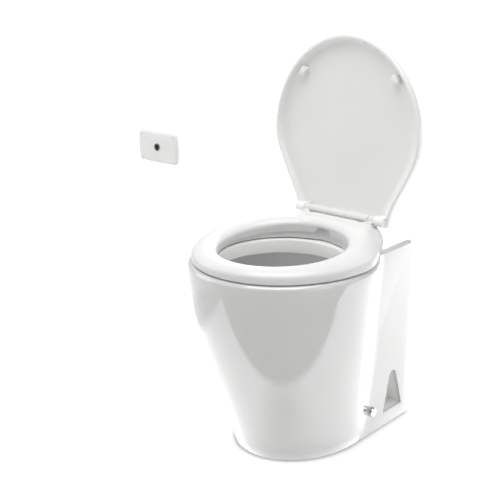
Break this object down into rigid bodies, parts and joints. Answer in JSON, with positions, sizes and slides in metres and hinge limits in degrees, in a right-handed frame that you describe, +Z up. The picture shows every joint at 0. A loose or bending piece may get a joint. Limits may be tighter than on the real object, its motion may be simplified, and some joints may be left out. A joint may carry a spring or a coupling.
{
  "type": "electric marine toilet",
  "caption": "Electric marine toilet: one-piece china bowl and pedestal, hinged seat and lid, macerator pump inside, and a separate wall panel with a flush button.",
  "frame": {"origin": "on the floor, on the centre plane, in the middle of the rear strip of the pedestal's foot, 6 mm in front of the wall it backs on to", "axes": "+Z up, +Y backwards into the wall, +X to the right seen from the front"},
  "size_m": [0.8749, 0.4806, 0.7954],
  "materials": {
    "glazed_ceramic": "glazed white vitreous china, high gloss",
    "seat_plastic": "moulded white, gloss",
    "lid_plastic": "moulded white, gloss",
    "white_plastic": "moulded white, satin",
    "white_rubber": "soft white rubber",
    "black_rubber": "soft black rubber",
    "stainless_steel": "brushed stainless steel",
    "chrome": "polished chrome",
    "painted_steel": "dark stove enamel",
    "dark_plastic": "dark moulded plastic",
    "button_black": "black, high gloss"
  },
  "bodies": {
    "toilet": {"bowl_clamp": "stainless_steel", "bowl_elbow": "black_rubber", "bowl_pedestal": "glazed_ceramic", "button_bezel": "chrome", "check_valve": "black_rubber", "control_panel": "white_plastic", "discharge_elbow": "white_plastic", "fixing_bracket_left": "stainless_steel", "fixing_bracket_right": "stainless_steel", "foot_pad_1": "black_rubber", "foot_pad_2": "black_rubber", "foot_pad_3": "black_rubber", "foot_pad_4": "black_rubber", "hinge_bar": "white_plastic", "hinge_pin_left": "stainless_steel", "hinge_pin_right": "stainless_steel", "hinge_stud_left": "stainless_steel", "hinge_stud_right": "stainless_steel", "hinge_washer_left": "black_rubber", "hinge_washer_right": "black_rubber", "motor_can": "painted_steel", "motor_end_cap": "dark_plastic", "motor_strap": "stainless_steel", "panel_cap_1": "seat_plastic", "panel_cap_2": "seat_plastic", "panel_cap_3": "seat_plastic", "panel_cap_4": "seat_plastic", "pump_bracket": "stainless_steel", "pump_clamp": "stainless_steel", "pump_cover": "dark_plastic", "pump_gasket": "black_rubber", "pump_housing": "dark_plastic", "pump_screw_1": "stainless_steel", "pump_screw_2": "stainless_steel", "pump_screw_3": "stainless_steel", "rim_spud": "white_plastic", "rinse_hose": "black_rubber", "rinse_valve": "white_plastic", "screw_cap_left": "chrome", "screw_cap_right": "chrome", "shaft_seal": "black_rubber", "side_screw_left": "stainless_steel", "side_screw_right": "stainless_steel", "switch_body": "dark_plastic", "valve_coil": "dark_plastic", "wing_nut_left": "white_plastic", "wing_nut_right": "white_plastic"},
    "seat": {"seat": "seat_plastic", "seat_pad_1": "white_rubber", "seat_pad_2": "white_rubber", "seat_pad_3": "white_rubber", "seat_pad_4": "white_rubber"},
    "lid": {"lid": "lid_plastic", "lid_pad_1": "white_rubber", "lid_pad_2": "white_rubber"},
    "button": {"push_button": "button_black"},
    "rotor": {"motor_shaft": "stainless_steel", "armature": "stainless_steel", "impeller": "dark_plastic", "macerator_blade": "stainless_steel"}
  },
  "joints": [
    {"name": "seat_hinge", "type": "hinge", "parent": "toilet", "child": "seat", "pos_m": [0, -0.076, 0.437], "axis": [-1, 0, 0], "range_deg": [0, 95]},
    {"name": "lid_hinge", "type": "hinge", "parent": "seat", "child": "lid", "pos_m": [0, -0.076, 0.437], "axis": [-1, 0, 0], "range_deg": [-97, 0]},
    {"name": "button_slide", "type": "slide", "parent": "toilet", "child": "button", "axis": [0, 1, 0], "range_m": [0, 0.002], "stiffness_N_per_m": 600, "springref_m": -0.003},
    {"name": "pump_spin", "type": "hinge", "parent": "toilet", "child": "rotor", "pos_m": [0, -0.1, 0.103], "axis": [0, 1, 0], "continuous": true}
  ]
}
